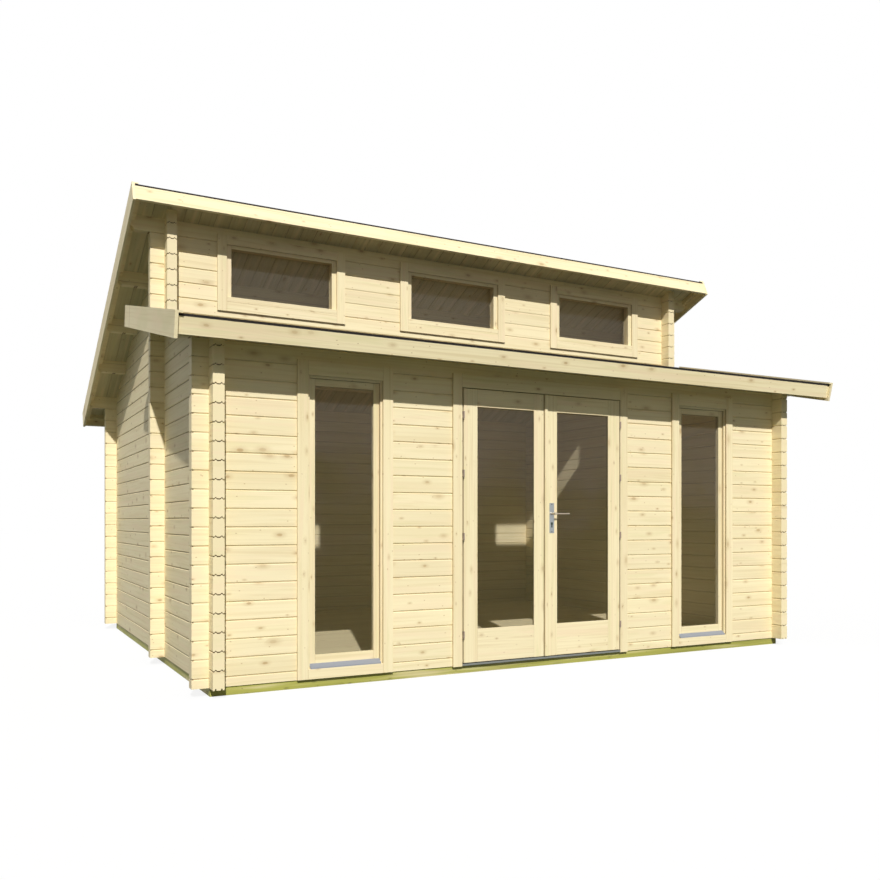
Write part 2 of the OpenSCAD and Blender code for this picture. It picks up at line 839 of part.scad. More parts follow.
foundation_front();
foundation_back();
foundation_sides();
floor_joists();
floor_boards();
front_wall_left();
front_wall_right();
front_wall_over_door();
left_wall();
right_wall();
back_wall();
cross_wall_stubs();
clerestory_wall();
purlins();
roof_battens();
lower_roof_boards();
lower_roof_felt();
lower_fascia();
lower_barge_left();
lower_barge_right();
upper_roof_boards();
upper_roof_felt();
upper_fascia_front();
upper_fascia_back();
upper_barge_left();
upper_barge_right();
window_left_frame();
window_right_frame();
front_window_glass();
window_sills();
clerestory_frame_left();
clerestory_frame_middle();
clerestory_frame_right();
clerestory_glass();
door_frame();
door_threshold();
hinge_frame_halves();
door_left();
door_left_glass();
door_left_hinges();
door_right();
door_right_glass();
door_right_hinges();
handle_plates();
door_handle();
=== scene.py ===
import math
import random

import bmesh
import bpy
from mathutils import Euler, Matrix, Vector


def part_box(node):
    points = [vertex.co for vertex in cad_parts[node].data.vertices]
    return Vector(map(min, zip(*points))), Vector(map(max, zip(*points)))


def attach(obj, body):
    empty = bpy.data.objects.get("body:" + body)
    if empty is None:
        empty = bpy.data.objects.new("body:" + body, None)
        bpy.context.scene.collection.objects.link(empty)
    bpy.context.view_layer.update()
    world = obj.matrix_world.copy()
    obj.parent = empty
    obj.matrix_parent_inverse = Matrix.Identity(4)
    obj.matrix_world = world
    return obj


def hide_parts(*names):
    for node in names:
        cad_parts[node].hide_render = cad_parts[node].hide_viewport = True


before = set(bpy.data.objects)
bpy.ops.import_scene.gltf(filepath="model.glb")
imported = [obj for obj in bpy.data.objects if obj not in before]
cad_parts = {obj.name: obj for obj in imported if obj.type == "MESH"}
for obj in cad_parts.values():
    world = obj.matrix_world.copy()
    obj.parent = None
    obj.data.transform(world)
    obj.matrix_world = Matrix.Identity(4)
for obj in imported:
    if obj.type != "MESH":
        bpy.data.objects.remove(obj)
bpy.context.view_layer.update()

bl_info = {
    "name": "Guest cabin finish",
    "version": (1, 0, 0),
    "blender": (4, 5, 0),
    "location": "3D View > Sidebar > Cabin",
    "description": "Finishes a log cabin: carved log ends, boarding, joinery, glass and fittings",
    "category": "Object",
}

# ---------------------------------------------------------------- places from the frame


def low(node):
    return Vector(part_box(node)[0])


def high(node):
    return Vector(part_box(node)[1])


FRONT_Y = low("front_wall_left").y
GROUND = low("foundation_front").z
WALL_Z = low("left_wall").z
HALF_W = high("right_wall").x
BACK_Y = high("back_wall").y
CROSS_Y = low("clerestory_wall").y
LOG_T = high("left_wall").x - low("left_wall").x
LOG_END = high("front_wall_right").x - HALF_W
LEAF_TOP = high("door_right").z
LEAF_FOOT = low("door_right").z
# undersides of the roof boards at the front wall and at the clerestory wall, and their slopes
LOWER_Z0 = WALL_Z + 2.2067755
UPPER_Z0 = WALL_Z + 3.244475
LOWER_PITCH = math.radians(13.05)
UPPER_PITCH = math.radians(22.8)
# planed trims round every opening, and the play between two boards that lie together
TRIM_W, TRIM_T, PLAY = 0.073, 0.016, 0.0003
# trims over the tall windows and the door
HEAD_TRIM = 0.097
# half the door's width, the boards that line its opening, and its height over the foundation
DOOR_HALF, LINER, DOOR_TOP = 0.700, 0.018, 1.938
# a door leaf's thickness, the strip on the right leaf, and a leaf's hinge edge from the middle
LEAF_T, STRIP, LEAF_EDGE = 0.056, 0.012, 0.690
LEAF_FACE = low("door_right").y + STRIP
# thickness of a pane, and the play on both sides of it
PANE, PANE_PLAY = 0.004, 0.0005


# ---------------------------------------------------------------- settings


class CabinSizes(bpy.types.PropertyGroup):
    course: bpy.props.FloatProperty(
        name="Course", description="Height of one log course", default=0.114,
        min=0.08, max=0.16, unit="LENGTH")
    joint_gap: bpy.props.FloatProperty(
        name="End joint", description="Width of the joint that shows on the log ends",
        default=0.0070, min=0.001, max=0.012, unit="LENGTH")
    felt_sheet: bpy.props.FloatProperty(
        name="Felt sheet", description="Step from one felt sheet up to the next across a roof",
        default=0.82, min=0.3, max=1.5, unit="LENGTH")
    joint_depth: bpy.props.FloatProperty(
        name="End joint depth", description="Depth of the joint cut in the log ends",
        default=0.012, min=0.002, max=0.02, unit="LENGTH")
    tongue: bpy.props.FloatProperty(
        name="Tongue height", description="Height of the two tongues seen on a log end",
        default=0.0095, min=0.003, max=0.02, unit="LENGTH")
    boarding: bpy.props.FloatProperty(
        name="Roof board", description="Cover width of a roof board", default=0.113,
        min=0.08, max=0.15, unit="LENGTH")
    floor_board: bpy.props.FloatProperty(
        name="Floor board", description="Cover width of a floor board", default=0.113,
        min=0.08, max=0.15, unit="LENGTH")
    groove: bpy.props.FloatProperty(
        name="Board groove", description="Width of the V groove between two boards",
        default=0.009, min=0.003, max=0.015, unit="LENGTH")
    edge: bpy.props.FloatProperty(
        name="Rounded edge", description="Rounding of planed edges", default=0.002,
        min=0.0005, max=0.005, unit="LENGTH")


class CabinColours(bpy.types.PropertyGroup):
    spruce: bpy.props.FloatVectorProperty(
        name="Spruce", description="Pale early wood", subtype="COLOR", size=3,
        default=(0.955, 0.835, 0.542), min=0, max=1)
    grain: bpy.props.FloatVectorProperty(
        name="Grain", description="Darker late wood", subtype="COLOR", size=3,
        default=(0.83, 0.69, 0.41), min=0, max=1)
    blush: bpy.props.FloatVectorProperty(
        name="Blush", description="Warm tinge of some early wood", subtype="COLOR", size=3,
        default=(0.93, 0.76, 0.50), min=0, max=1)
    sap: bpy.props.FloatVectorProperty(
        name="Sapwood", description="Greenish tinge of some late wood", subtype="COLOR", size=3,
        default=(0.80, 0.72, 0.40), min=0, max=1)
    knot: bpy.props.FloatVectorProperty(
        name="Knot", description="Heart of a knot", subtype="COLOR", size=3,
        default=(0.47, 0.30, 0.135), min=0, max=1)
    treated: bpy.props.FloatVectorProperty(
        name="Treated timber", description="Green pressure-treated timber", subtype="COLOR",
        size=3, default=(0.46, 0.445, 0.10), min=0, max=1)
    felt: bpy.props.FloatVectorProperty(
        name="Felt", description="Mineral roofing felt", subtype="COLOR", size=3,
        default=(0.021, 0.018, 0.016), min=0, max=1)


class CabinStage(bpy.types.PropertyGroup):
    sun: bpy.props.FloatProperty(
        name="Sun", description="Strength of the key light", default=3.57, min=0, max=10)
    fill: bpy.props.FloatProperty(
        name="Fill", description="Strength of the even sky light", default=0.305, min=0, max=2)
    bounce: bpy.props.FloatProperty(
        name="Floor bounce", description="Share of light that the floor sends back up",
        default=0.062, min=0, max=1)


# ---------------------------------------------------------------- shader maths


class Val:
    """A shader socket that takes part in Python expressions."""

    def __init__(self, paint, socket):
        self.paint = paint
        self.socket = socket

    def _do(self, operation, *others, swap=False):
        values = [self, *others]
        if swap:
            values.reverse()
        return self.paint.math(operation, *values)

    def __add__(self, other):
        return self._do("ADD", other)

    __radd__ = __add__

    def __sub__(self, other):
        return self._do("SUBTRACT", other)

    def __rsub__(self, other):
        return self._do("SUBTRACT", other, swap=True)

    def __mul__(self, other):
        return self._do("MULTIPLY", other)

    __rmul__ = __mul__

    def __truediv__(self, other):
        return self._do("DIVIDE", other)

    def __pow__(self, other):
        return self._do("POWER", other)

    def floor(self):
        return self._do("FLOOR")

    def abs(self):
        return self._do("ABSOLUTE")

    def above(self, edge):
        return self._do("GREATER_THAN", edge)

    def ramp(self, start, end):
        """0 at start, 1 at end, smooth between."""
        return self.paint.node(
            "MapRange", {"interpolation_type": "SMOOTHSTEP"},
            {"Value": self, "From Min": start, "From Max": end, "To Min": 0.0, "To Max": 1.0},
            "Result")


class Paint:
    """One material and the calls that add its nodes."""

    def __init__(self, name):
        self.material = bpy.data.materials.new(name)
        self.material.use_nodes = True
        self.tree = self.material.node_tree
        self.shader = self.tree.nodes["Principled BSDF"]

    def put(self, socket, value):
        if isinstance(value, Val):
            self.tree.links.new(value.socket, socket)
        elif isinstance(value, (tuple, list)) and socket.type == "RGBA" and len(value) == 3:
            socket.default_value = (*value, 1.0)
        else:
            socket.default_value = value

    def node(self, kind, settings=None, values=None, out=0):
        node = self.tree.nodes.new("ShaderNode" + kind)
        for name, value in (settings or {}).items():
            setattr(node, name, value)
        for name, value in (values or {}).items():
            self.put(node.inputs[name], value)
        return Val(self, node.outputs[out])

    def math(self, operation, *values):
        return self.node("Math", {"operation": operation}, dict(enumerate(values)))

    def vector(self, operation, *values, out=0):
        return self.node("VectorMath", {"operation": operation}, dict(enumerate(values)), out)

    def join(self, x, y, z):
        return self.node("CombineXYZ", None, {0: x, 1: y, 2: z})

    def parts(self, vector):
        split = self.node("SeparateXYZ", None, {0: vector})
        return [Val(self, socket) for socket in split.socket.node.outputs]

    def mix(self, factor, a, b, blend="MIX"):
        node = self.tree.nodes.new("ShaderNodeMix")
        node.data_type = "RGBA"
        node.blend_type = blend
        self.put(node.inputs[0], factor)
        self.put(node.inputs[6], a)
        self.put(node.inputs[7], b)
        return Val(self, node.outputs[2])

    def noise(self, place, scale=1.0, detail=2.0, roughness=0.5, out=0):
        return self.node(
            "TexNoise", None,
            {"Vector": place, "Scale": scale, "Detail": detail, "Roughness": roughness}, out)

    def random(self, seed, out="Value"):
        return self.node("TexWhiteNoise", {"noise_dimensions": "1D"}, {"W": seed}, out)

    def set(self, **values):
        for name, value in values.items():
            self.put(self.shader.inputs[name.replace("_", " ")], value)

    def bump(self, height, distance, strength=1.0):
        normal = self.node(
            "Bump", None,
            {"Height": height, "Distance": distance, "Strength": strength})
        self.put(self.shader.inputs["Normal"], normal)


def spots(paint, u, v):
    """Scattered points: the distance to the nearest and three numbers of its own."""
    found = paint.node(
        "TexVoronoi", {"feature": "F1", "voronoi_dimensions": "2D"},
        {"Vector": paint.join(u, v, 0.0), "Scale": 1.0, "Randomness": 1.0}, "Distance")
    return found, paint.parts(Val(paint, found.socket.node.outputs["Color"]))


def timber(name, place, pale=None, dark=None, knot=None, seed=0.0, knots=1.0, figure=1.0,
           room=None):
    """Planed softwood. place builds the position along, across and into the wood in metres,
    a number of its own for each board, and how much of the face is end grain. room marks
    the faces turned to the room, of clear boards. figure is the strength of the grain."""
    colours = bpy.context.scene.cabin_colours
    paint = Paint(name)
    pale = tuple(pale or colours.spruce)
    dark = tuple(dark or colours.grain)
    heart = tuple(knot or colours.knot)
    along, across, depth, board, end_face, seam_and_shade = place(paint)
    own = paint.random(board + seed)
    own2 = paint.random(board * 1.7 + 31.3 + seed)
    along = along + own * 17.0
    across_s = across + own2 * 5.0
    # slow wander of the grain lines
    sway = paint.noise(paint.join(along * 0.9, across_s * 5.0, depth * 5.0), 1.0, 1.0)
    wander = (sway - 0.5) * 0.05
    # knots: many cells carry one, drawn out a little along the grain
    edge = paint.noise(paint.join(along * 60.0, across_s * 60.0, depth * 60.0), 1.0, 2.0)
    distance, kind = spots(paint, along * 3.9, across_s * 8.2)
    distance = distance + (edge - 0.5) * 0.035
    live = kind[0].ramp(1.0 - 0.80 * knots, 1.03 - 0.80 * knots)
    size = (kind[1] * kind[1]) * 0.080 + 0.032
    if room is not None:
        inside = room(paint)
        live = live * (1.0 - inside * 0.9)
        seam_and_shade = seam_and_shade * (1.0 - inside * 0.5)
    core = (1.0 - (distance / size).ramp(0.45, 1.1)) * live * (kind[2] * kind[2] * 0.8 + 0.2)
    halo = (1.0 - (distance / (size * 2.9)).ramp(0.1, 1.0)) * live
    # pin knots: small dark points
    near, sort = spots(paint, along * 8.0 + 3.1, across_s * 16.0 + 7.7)
    pin = (1.0 - near.ramp(0.02, 0.06)) * sort[0].above(0.72)
    # growth lines, bent round the knots
    lines = paint.noise(
        paint.join(along * 0.55, (across_s + wander + halo * 0.006) * 62.0,
                   (depth + wander) * 62.0), 1.0, 3.0, 0.55)
    fine = paint.noise(
        paint.join(along * 5.0, across_s * 420.0, depth * 420.0), 1.0, 2.0)
    broad = paint.noise(paint.join(along * 0.7, across_s * 9.0, depth * 9.0), 1.0, 2.0)
    streak = lines.ramp(0.44, 0.72) * 0.60 + broad.ramp(0.42, 0.75) * 0.42
    colour = paint.mix(streak * figure + halo * 0.30, pale, dark)
    tone = 0.965 + own * 0.05 + (fine - 0.5) * 0.05
    if end_face is not None:
        ring_x, ring_y = across + (own - 0.5) * 0.05, depth + (own2 - 1.2) * 0.06
        radius = (ring_x * ring_x + ring_y * ring_y) ** 0.5
        rings = paint.math("SINE", (radius + (edge - 0.5) * 0.0015) * 1250.0)
        ring_mask = (rings * 0.5 + 0.5) * 0.45 + 0.10
        colour = paint.mix(end_face, colour, paint.mix(ring_mask, pale, dark))
        core = core * (1.0 - end_face)
        pin = pin * (1.0 - end_face)
    blush = paint.noise(paint.join(along * 1.6 + 40.0, across_s * 22.0, depth * 5.0), 1.0, 1.0)
    colour = paint.mix(blush.ramp(0.48, 0.72) * (0.55 * figure), colour, tuple(colours.blush))
    olive = paint.noise(paint.join(along * 2.3 + 9.0, across_s * 30.0, depth * 6.0), 1.0, 2.0)
    colour = paint.mix(olive.ramp(0.55, 0.74) * (0.38 * figure), colour, tuple(colours.sap))
    colour = paint.mix(halo * 0.42, colour, tuple(c * 0.45 + h * 0.55 for c, h in zip(dark, heart)))
    colour = paint.mix(core * 0.72, colour, heart)
    colour = paint.mix(pin * 0.7, colour, heart)
    colour = paint.mix(1.0, colour, paint.join(
        tone, tone * 0.995, tone * 0.99 - own2 * 0.03), "MULTIPLY")
    # dark joints, and painted shade in the cut log-end joints and on the sides and undersides of
    # planed boards
    if seam_and_shade is not None:
        colour = paint.mix(seam_and_shade, colour, tuple(c * 0.55 for c in heart))
    paint.set(Base_Color=colour, Roughness=0.58 + (lines - 0.5) * 0.2, Specular_IOR_Level=0.3)
    paint.bump(lines * 0.5 + fine * 0.3 - core * 0.6, 0.0006, 0.6)
    return paint.material


def object_place(paint):
    return paint.parts(paint.node("TexCoord", None, None, "Object"))


def faces_room(axis):
    """1 on the faces along an axis that look in at the middle of the house."""

    def mark(paint):
        place = object_place(paint)[axis]
        turned = paint.parts(paint.node("NewGeometry", None, None, "Normal"))[axis]
        return (0.0 - place * turned).above(0.5)

    return mark


def joint_mask(count, size, core, edge):
    """1 in the joint between two courses or boards, 0 past its edge."""
    distance = (count - (count + 0.5).floor()).abs() * size
    return 1.0 - distance.ramp(core, edge)


def course_logs(along_axis, phase, ends=(), line=0.30):
    """Logs laid flat in courses, along X or along Y; a number for every log. ends are the
    places of the log ends, whose cut joints are painted dark inside, as the shade in them."""

    def place(paint):
        x, y, z = object_place(paint)
        size = bpy.context.scene.cabin_sizes.course
        cut_depth = bpy.context.scene.cabin_sizes.joint_depth + 0.0005
        course = ((z - WALL_Z) / size + phase).floor()
        seam_and_shade = joint_mask((z - WALL_Z) / size + phase, size, 0.0008, 0.0048)
        normal = paint.parts(paint.node("NewGeometry", None, None, "Normal"))
        if along_axis == "X":
            band = (y * 1.9 + 20.0).floor()
            along, out, end_normal, face_normal = x, y, normal[0], normal[1]
        else:
            band = (x * 0.3 + 20.0).floor()
            along, out, end_normal, face_normal = y, x, normal[1], normal[0]
        end = end_normal.abs().ramp(0.6, 0.8)
        seam_and_shade = seam_and_shade * (1.0 - end) * line
        # painted shade: inside each cut end joint the wood is darkened
        for spot in ends:
            inside = (along - spot).abs()
            cut = inside.above(0.0008) * (1.0 - inside.above(cut_depth))
            seam_and_shade = paint.math("MAXIMUM", seam_and_shade, cut * (1.0 - face_normal.abs().ramp(0.2, 0.4)) * 0.9)
        return along, z, out, course * 3.7 + band * 11.1, end, seam_and_shade

    return place


def sloped_boards(pitch, width, side):
    """Boards that run up a roof slope, one after another across X."""

    def place(paint):
        x, y, z = object_place(paint)
        board = (x / width + 0.5 + 60.0).floor()
        along = y * math.cos(pitch) + z * math.sin(pitch)
        into = z * math.cos(pitch) - y * math.sin(pitch)
        seam_and_shade = joint_mask(x / width + 0.5, width, 0.001, 0.0055) * 0.30
        return along, x, into, board + side, None, seam_and_shade

    return place


def flat_board(axis, width=None):
    """Boards along one axis, parted every width across it."""

    def place(paint):
        x, y, z = object_place(paint)
        if axis == "X":
            board = (y / width + 40.0).floor() if width else (y * 0.8 + 9.0).floor()
            return x, y if width else z, z if width else y, board, None, None
        board = (x / width + 40.0).floor() if width else (x * 0.8 + 9.0).floor()
        return y, x if width else z, z if width else x, board, None, None

    return place


def own_grain(paint):
    """Boards that carry their own grain position and number, with painted shade on the sides and
    undersides of every board.
    """
    grain = paint.node("Attribute", {"attribute_name": "grain"}, None, "Vector")
    number = paint.node("Attribute", {"attribute_name": "board"}, None, "Fac")
    along, across, depth = paint.parts(grain)
    normal = paint.parts(paint.node("NewGeometry", None, None, "Normal"))
    # painted shade: faces turned along X or downwards are darkened, as in the shadow gaps between
    # boards
    side = paint.math("MAXIMUM", normal[0].abs(), 0.0 - normal[2])
    return along, across, depth, number, None, side.ramp(0.7, 0.95) * 0.42


MATERIALS = {}


def finish_felt():
    paint = Paint("mineral felt")
    place = paint.node("TexCoord", None, None, "Object")
    grit = paint.noise(place, 900.0, 2.0)
    patch = paint.noise(place, 3.0, 3.0)
    colour = tuple(bpy.context.scene.cabin_colours.felt)
    lighter = tuple(min(1, c * 2.6) for c in colour)
    # sheets laid across the slope, each lapped over the one below it
    x, y = paint.parts(place)[:2]
    ragged = (paint.noise(paint.join(x * 1.5, 0.0, 0.0), 1.0, 1.0) - 0.5) * 0.012
    count = (y.abs() + ragged) / bpy.context.scene.cabin_sizes.felt_sheet + 0.35
    sheet = paint.random(count.floor() + 5.0)
    across = (count - (count + 0.5).floor()).abs()
    lap = 1.0 - across.ramp(0.002, 0.010)
    mottle = grit.ramp(0.45, 0.75) * 0.6 + patch * 0.2 + sheet * 0.25 - lap * 0.5
    paint.set(Base_Color=paint.mix(mottle, colour, lighter),
              Roughness=0.88 + (grit - 0.5) * 0.2, Specular_IOR_Level=0.12)
    paint.bump(grit * 0.25 - lap, 0.003, 0.8)
    return paint.material


def finish_glass():
    paint = Paint("window glass")
    place = paint.node("TexCoord", None, None, "Object")
    wave = paint.noise(place, 2.2, 1.0)
    x, y, z = paint.parts(place)
    # painted reflection: olive low on the glass and grey higher up, in leafy patches, standing in
    # for foliage and sky reflected in it
    leaf_reflection = paint.noise(paint.join(x * 1.3, y, z * 1.1), 1.6, 4.0, 0.6)
    sky_reflection = ((z - WALL_Z) + (leaf_reflection - 0.5) * 2.2).ramp(0.9, 1.6)
    paint.set(Base_Color=paint.mix(sky_reflection, (0.075, 0.085, 0.030), (0.170, 0.165, 0.160)),
              Roughness=0.02, Alpha=0.125, Specular_IOR_Level=0.9,
              Specular_Tint=(1.0, 0.92, 0.70))
    paint.bump(wave, 0.002, 0.08)
    return paint.material


def finish_metal(name, colour, rough, metal=1.0):
    paint = Paint(name)
    place = paint.node("TexCoord", None, None, "Object")
    x, y, z = paint.parts(place)
    brushed = paint.noise(paint.join(x * 8.0, y * 8.0, z * 900.0), 1.0, 2.0)
    cloud = paint.noise(place, 24.0, 2.0)
    tone = 0.92 + brushed * 0.10 + cloud * 0.05
    paint.set(Base_Color=paint.mix(1.0, colour, paint.join(tone, tone, tone), "MULTIPLY"),
              Metallic=metal, Roughness=rough + (brushed - 0.5) * 0.15)
    paint.bump(brushed, 0.0002, 0.5)
    return paint.material


def make_materials():
    sizes = bpy.context.scene.cabin_sizes
    colours = bpy.context.scene.cabin_colours
    green = tuple(colours.treated)
    soaked = {"pale": green, "dark": tuple(c * 0.62 for c in green),
              "knot": tuple(c * 0.35 for c in green)}
    # roof boards painted darker and a little greener than the planed ones: painted shade for the
    # soffits and ceilings under the roofs
    soffit_shade = (0.74, 0.76, 0.73)
    soffit_shade_colours = {"pale": tuple(c * k for c, k in zip(colours.spruce, soffit_shade)),
                  "dark": tuple(c * k for c, k in zip(colours.grain, soffit_shade))}
    # places of the log ends, for logs along X and for logs along Y
    across = (-HALF_W - LOG_END, HALF_W + LOG_END)
    deep = (low("left_wall").y, high("left_wall").y, CROSS_Y - LOG_END)
    made = {
        "cross_logs": timber("logs along the front", course_logs("X", 0.5, across)),
        "back_logs": timber(
            "logs of the back wall", course_logs("X", 0.5, across, 0.7), seed=70.0,
            room=faces_room(1)),
        "side_logs": timber(
            "logs along the sides", course_logs("Y", 0.0, deep, 0.7), seed=40.0,
            knots=0.75, room=faces_room(0)),
        "lower_deck": timber(
            "lower roof boards", sloped_boards(LOWER_PITCH, sizes.boarding, 3.0), knots=0.35,
            **soffit_shade_colours),
        "upper_deck": timber(
            "upper roof boards", sloped_boards(-UPPER_PITCH, sizes.boarding, 300.0), knots=0.35,
            **soffit_shade_colours),
        "barge_lower": timber(
            "lower barge boards", sloped_boards(LOWER_PITCH, 2.0, 7.0), seed=3.0),
        "barge_upper": timber(
            "upper barge boards", sloped_boards(-UPPER_PITCH, 2.0, 9.0), seed=5.0),
        "fascia": timber("fascia boards", flat_board("X"), seed=8.0, figure=1.35),
        "floor": timber("floor boards", flat_board("X", sizes.floor_board), seed=12.0),
        "joinery": timber("planed joinery", own_grain, seed=20.0, figure=1.5),
        "treated": timber("treated timber", flat_board("X"), **soaked),
        "treated_side": timber(
            "treated timber along the sides", flat_board("Y"), **soaked),
        "felt": finish_felt(),
        "glass": finish_glass(),
        "plate_metal": finish_metal("satin plate", (0.38, 0.40, 0.40), 0.36),
        # satin metal, its warm tint partly painted reflection of the wood round it
        "lever_metal": finish_metal("satin lever", (0.52, 0.45, 0.35), 0.34),
        "dark_metal": finish_metal("keyhole shade and screws", (0.05, 0.07, 0.06), 0.4),
        "sill_metal": finish_metal("coated sill sheet", (0.30, 0.32, 0.36), 0.5, 0.15),
        "rail_metal": finish_metal("threshold rail", (0.22, 0.23, 0.21), 0.5, 0.3),
        "hinge_metal": finish_metal("hinge metal", (0.36, 0.29, 0.24), 0.42),
    }
    MATERIALS.update(made)


# ---------------------------------------------------------------- mesh helpers


def finish_piece(name, mesh, body, nodes=(), material=None):
    """Puts a finished mesh in the scene as a piece of the object."""
    piece = bpy.data.objects.new(name, mesh)
    bpy.context.collection.objects.link(piece)
    if material is not None:
        mesh.materials.clear()
        mesh.materials.append(material)
    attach(piece, body)
    if nodes:
        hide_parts(*nodes)
    return piece


def new_object(name, bm):
    mesh = bpy.data.meshes.new(name)
    bm.to_mesh(mesh)
    bm.free()
    made = bpy.data.objects.new(name, mesh)
    bpy.context.collection.objects.link(made)
    return made


def baked(made):
    """The evaluated mesh of an object, which is then removed."""
    bpy.context.view_layer.update()
    graph = bpy.context.evaluated_depsgraph_get()
    mesh = bpy.data.meshes.new_from_object(made.evaluated_get(graph))
    name = made.name
    bpy.data.objects.remove(made)
    mesh.name = name
    return mesh


def row_tree():
    """Repeats the object's own mesh in a straight row."""
    if "Row" in bpy.data.node_groups:
        return bpy.data.node_groups["Row"]
    tree = bpy.data.node_groups.new("Row", "GeometryNodeTree")
    for name, kind in (("Geometry", "NodeSocketGeometry"), ("Count", "NodeSocketInt"),
                       ("Step", "NodeSocketVector"), ("Material", "NodeSocketMaterial")):
        tree.interface.new_socket(name, in_out="INPUT", socket_type=kind)
    tree.interface.new_socket("Geometry", in_out="OUTPUT", socket_type="NodeSocketGeometry")
    nodes, links = tree.nodes, tree.links
    start, end = nodes.new("NodeGroupInput"), nodes.new("NodeGroupOutput")
    line = nodes.new("GeometryNodeMeshLine")
    spread = nodes.new("GeometryNodeInstanceOnPoints")
    real = nodes.new("GeometryNodeRealizeInstances")
    coat = nodes.new("GeometryNodeSetMaterial")
    links.new(start.outputs["Count"], line.inputs["Count"])
    links.new(start.outputs["Step"], line.inputs["Offset"])
    links.new(line.outputs["Mesh"], spread.inputs["Points"])
    links.new(start.outputs["Geometry"], spread.inputs["Instance"])
    links.new(spread.outputs["Instances"], real.inputs["Geometry"])
    links.new(real.outputs["Geometry"], coat.inputs["Geometry"])
    links.new(start.outputs["Material"], coat.inputs["Material"])
    links.new(coat.outputs["Geometry"], end.inputs["Geometry"])
    return tree


def in_a_row(name, bm, count, step, material=None):
    """A mesh of one piece repeated count times."""
    one = new_object(name, bm)
    tree = row_tree()
    modifier = one.modifiers.new("Row", "NODES")
    modifier.node_group = tree
    keys = {item.name: item.identifier for item in tree.interface.items_tree
            if item.in_out == "INPUT"}
    modifier[keys["Count"]] = count
    modifier[keys["Step"]] = step
    modifier[keys["Material"]] = material
    return baked(one)


def prism(bm, outline, direction):
    """A closed prism of a flat outline moved along a direction."""
    first = [bm.verts.new(p) for p in outline]
    second = [bm.verts.new(Vector(p) + direction) for p in outline]
    count = len(outline)
    bm.faces.new(first)
    bm.faces.new(list(reversed(second)))
    for i in range(count):
        j = (i + 1) % count
        bm.faces.new((first[i], second[i], second[j], first[j]))
    bmesh.ops.recalc_face_normals(bm, faces=bm.faces)


def node_copy(node):
    """A clean copy of a CAD node's mesh as an object."""
    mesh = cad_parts[node].data.copy()
    bm = bmesh.new()
    bm.from_mesh(mesh)
    bmesh.ops.remove_doubles(bm, verts=bm.verts, dist=0.00002)
    bmesh.ops.dissolve_limit(bm, angle_limit=0.002, verts=bm.verts, edges=bm.edges)
    return new_object(node + "_carved", bm)


def carve(node, cutters, material, body="cabin"):
    """Cuts a CAD node with meshes and puts the result in its place."""
    blank = node_copy(node)
    tools = []
    for i, mesh in enumerate(cutters):
        tool = bpy.data.objects.new(f"tool_{i}", mesh)
        bpy.context.collection.objects.link(tool)
        cut = blank.modifiers.new(f"cut_{i}", "BOOLEAN")
        cut.operation = "DIFFERENCE"
        cut.solver = "EXACT"
        cut.object = tool
        tools.append(tool)
    mesh = baked(blank)
    for tool in tools:
        bpy.data.objects.remove(tool)
    return finish_piece(node + "_carved", mesh, body, [node], material)


# ---------------------------------------------------------------- logs


# how far in front of a log end its cutters start
BEFORE_CUT = 0.002


def end_line(turn, face, axis, z):
    """Outline, in one vertical plane, of the joint that shows on a log end."""
    sizes = bpy.context.scene.cabin_sizes
    half = sizes.joint_gap / 2
    rise = sizes.tongue
    shape = [(0.0, 0.05), (0.06, 0.0), (0.14, 0.05), (0.21, 0.78), (0.27, 0.78), (0.36, 0.1),
             (0.42, 0.0), (0.58, 0.0), (0.64, 0.1), (0.73, 0.78), (0.79, 0.78), (0.86, 0.05),
             (0.94, 0.0), (1.0, 0.05)]
    top, bottom = [], []
    for share, lift in shape:
        u = turn + (share * 1.02 - 0.01) * LOG_T
        centre = z + (lift - 0.1) * rise
        top.append((u, centre + half))
        bottom.append((u, centre - half))
    outline = bottom + list(reversed(top))
    if axis == "Y":
        return [(u, face, w) for u, w in outline]
    return [(face, u, w) for u, w in outline]


def end_teeth(axis, turn, face, outward, z):
    """Cutters for the two grooves that open on the underside of the lowest log's end."""
    bm = bmesh.new()
    depth, apart = -outward * 0.03, 0.52 * LOG_T
    start = face + outward * BEFORE_CUT
    middle = turn + 0.24 * LOG_T
    outline = [(middle + wide, z + rise) for wide, rise in
               ((-0.006, -0.002), (0.006, -0.002), (0.0035, 0.011), (-0.0035, 0.011))]
    if axis == "Y":
        prism(bm, [(u, start, w) for u, w in outline], Vector((0, depth, 0)))
        return in_a_row("end_teeth", bm, 2, (apart, 0.0, 0.0))
    prism(bm, [(start, u, w) for u, w in outline], Vector((depth, 0, 0)))
    return in_a_row("end_teeth", bm, 2, (0.0, apart, 0.0))


def end_joints(axis, turn, face, outward, first, count):
    """Cutters for all joints on one column of log ends that faces along an axis."""
    sizes = bpy.context.scene.cabin_sizes
    bm = bmesh.new()
    start = face + outward * BEFORE_CUT
    reach = -outward * (sizes.joint_depth + BEFORE_CUT)
    vector = Vector((0, reach, 0)) if axis == "Y" else Vector((reach, 0, 0))
    prism(bm, end_line(turn, start, axis, WALL_Z + first * sizes.course), vector)
    return in_a_row("end_joints", bm, count, (0.0, 0.0, sizes.course))


